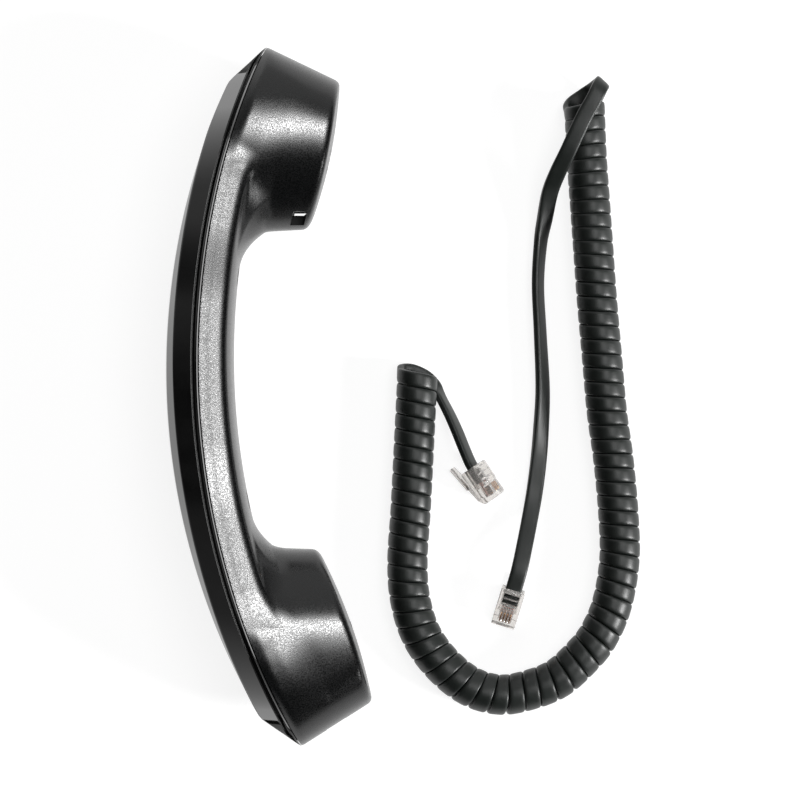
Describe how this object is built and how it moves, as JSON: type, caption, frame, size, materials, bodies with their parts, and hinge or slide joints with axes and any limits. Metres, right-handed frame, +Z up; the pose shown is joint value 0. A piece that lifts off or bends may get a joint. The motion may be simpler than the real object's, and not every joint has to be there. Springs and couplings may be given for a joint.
{
  "type": "telephone handset",
  "caption": "Curved desk telephone handset in two joined shells with round ear and mouth cups, lying beside its detached curly cord with clear modular plugs.",
  "frame": {"origin": "middle of the handset's footprint on the surface it lies on, without the cord set", "axes": "+X the way the ear and mouth faces look, +Y along the handset towards the ear end, +Z up, out of the upper flank"},
  "size_m": [0.1512, 0.2216, 0.049],
  "materials": {
    "gloss_black": "smooth moulded, glossy",
    "textured_black": "fine spark-eroded texture, satin",
    "cord_jacket": "smooth extruded, satin",
    "clear_plastic": "clear, moulded",
    "gold": "plated, bright",
    "copper": "lacquered winding",
    "steel": "zinc plated, dull",
    "aluminium": "drawn can",
    "rubber_black": "matt",
    "acoustic_cloth": "fine black weave",
    "film": "thin formed film",
    "wire_red": "PVC insulation"
  },
  "bodies": {
    "handset": {"back_shell": "gloss_black", "front_shell": "textured_black", "ear_cloth": "acoustic_cloth", "ear_gasket": "rubber_black", "receiver_frame": "textured_black", "receiver_diaphragm": "film", "receiver_coil": "copper", "receiver_magnet": "steel", "receiver_yoke": "steel", "mic_cloth": "acoustic_cloth", "mic_boot": "rubber_black", "mic_capsule": "aluminium", "ballast_weight": "steel", "shell_screw_ear": "steel", "shell_screw_mouth": "steel", "jack_housing": "gloss_black", "jack_contact_1": "gold", "jack_contact_2": "gold", "jack_contact_3": "gold", "jack_contact_4": "gold", "receiver_wire_1": "wire_red", "receiver_wire_2": "wire_red", "mic_wire_1": "wire_red", "mic_wire_2": "wire_red"},
    "cord_set": {"cord_coil": "cord_jacket", "cord_lead_short": "cord_jacket", "cord_lead_long": "cord_jacket", "plug_a_body": "clear_plastic", "plug_a_contact_1": "gold", "plug_a_contact_2": "gold", "plug_a_contact_3": "gold", "plug_a_contact_4": "gold", "plug_b_body": "clear_plastic", "plug_b_contact_1": "gold", "plug_b_contact_2": "gold", "plug_b_contact_3": "gold", "plug_b_contact_4": "gold"},
    "latch_a": {"plug_a_latch": "clear_plastic"},
    "latch_b": {"plug_b_latch": "clear_plastic"}
  },
  "joints": [
    {"name": "cord_set_lift", "type": "slide", "parent": "handset", "child": "cord_set", "axis": [0, 0, 1], "range_m": [0, 0.06]},
    {"name": "latch_a_press", "type": "hinge", "parent": "cord_set", "child": "latch_a", "pos_m": [0.06776, -0.03271, 0.00325], "axis": [0.3617, 0.2477, -0.8988], "range_deg": [0, 10], "stiffness_Nm_per_rad": 0.3},
    {"name": "latch_b_press", "type": "hinge", "parent": "cord_set", "child": "latch_b", "pos_m": [0.07565, -0.07028, 0.00075], "axis": [0.9563, -0.2924, 0], "range_deg": [0, 10], "stiffness_Nm_per_rad": 0.3}
  ]
}
